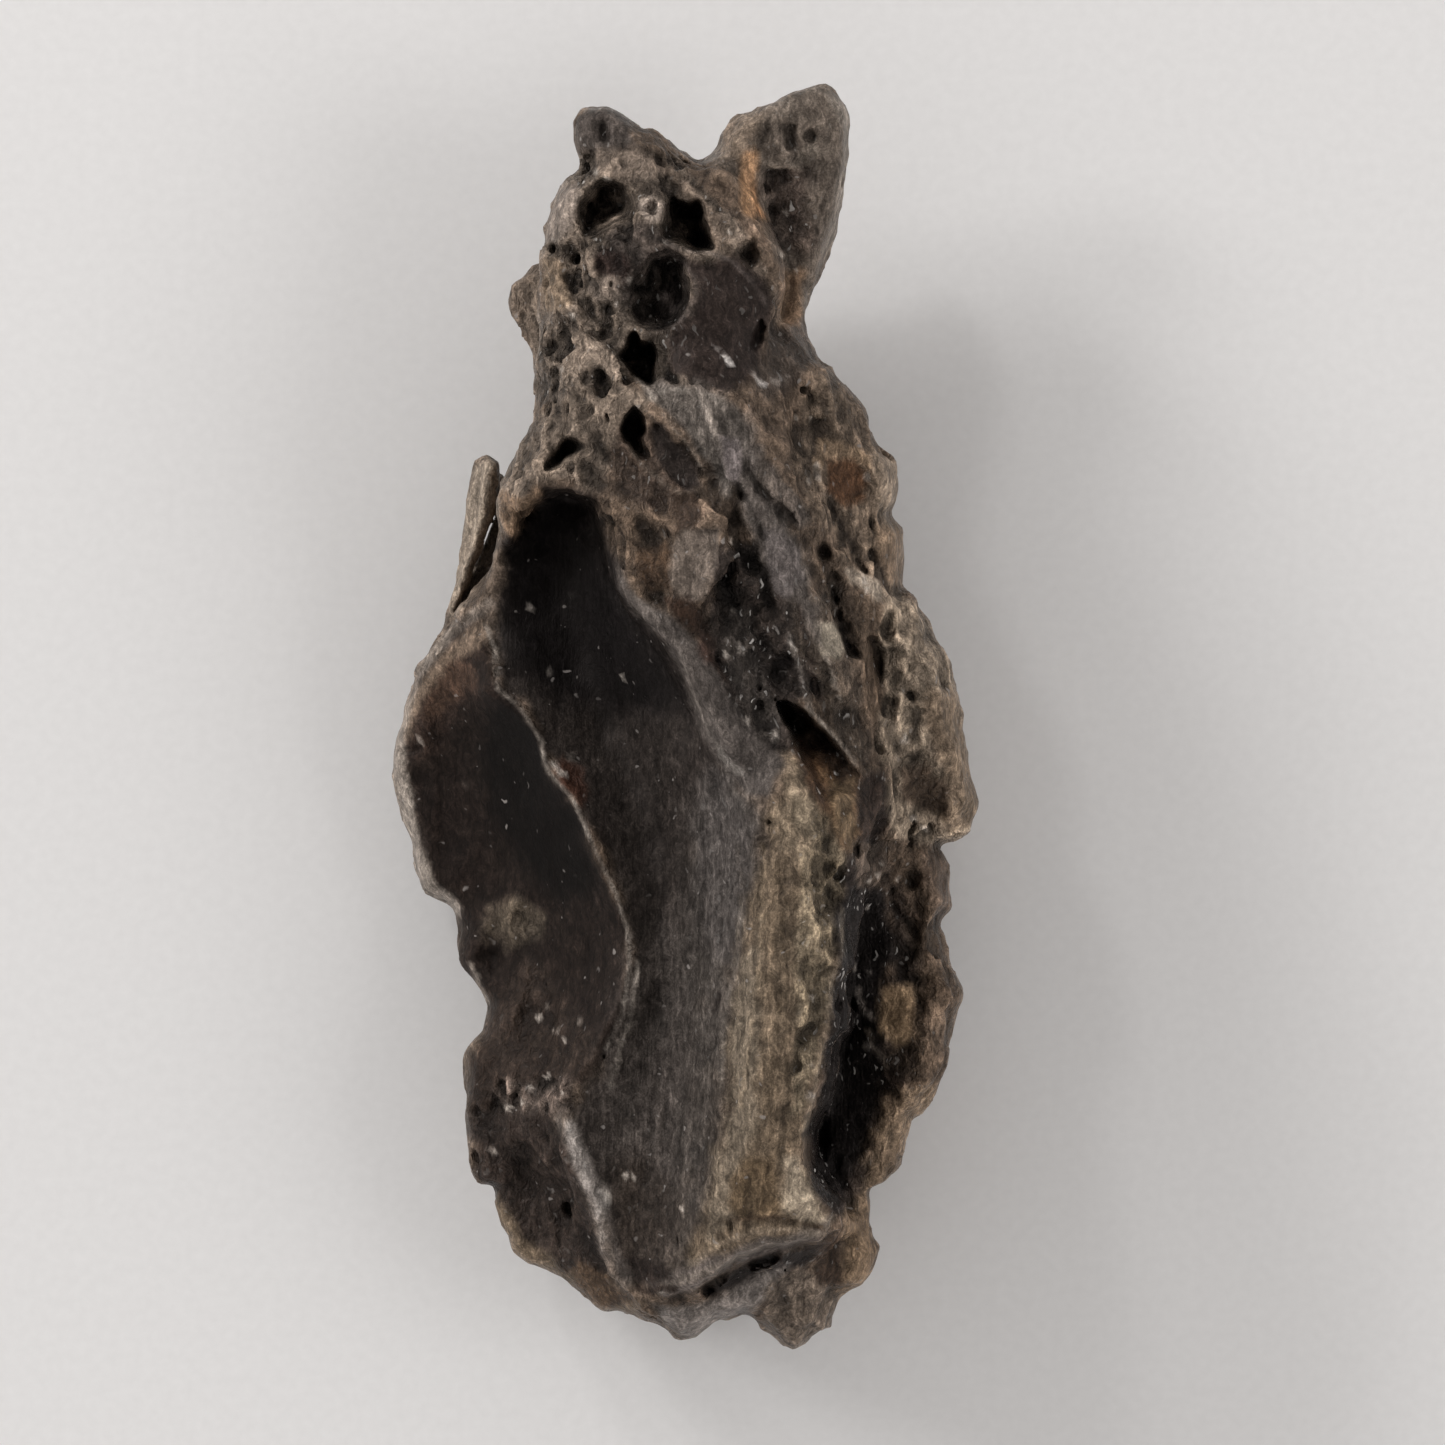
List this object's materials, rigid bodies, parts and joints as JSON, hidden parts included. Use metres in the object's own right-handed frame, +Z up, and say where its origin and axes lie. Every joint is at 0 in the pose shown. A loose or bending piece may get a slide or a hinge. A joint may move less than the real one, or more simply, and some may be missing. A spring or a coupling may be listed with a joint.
{
  "type": "darwin glass specimen",
  "caption": "Natural impact glass: a twisted, folded lump with a scooped trough, a thin wing, a deep gap and a blistered, horned neck.",
  "frame": {"origin": "middle of the specimen's bounding box in X and Y, at the height of the surface it lies on", "axes": "+Y runs along the specimen towards its two horns, +X to the right seen from above, +Z is up out of the surface it lies on"},
  "size_m": [0.021, 0.045, 0.0147],
  "materials": {
    "weathered_glass": "weathered natural glass, near-opaque black-olive to tan, semi-matte with glossy pits"
  },
  "bodies": {
    "root": {"darwin_glass": "weathered_glass"}
  },
  "joints": []
}
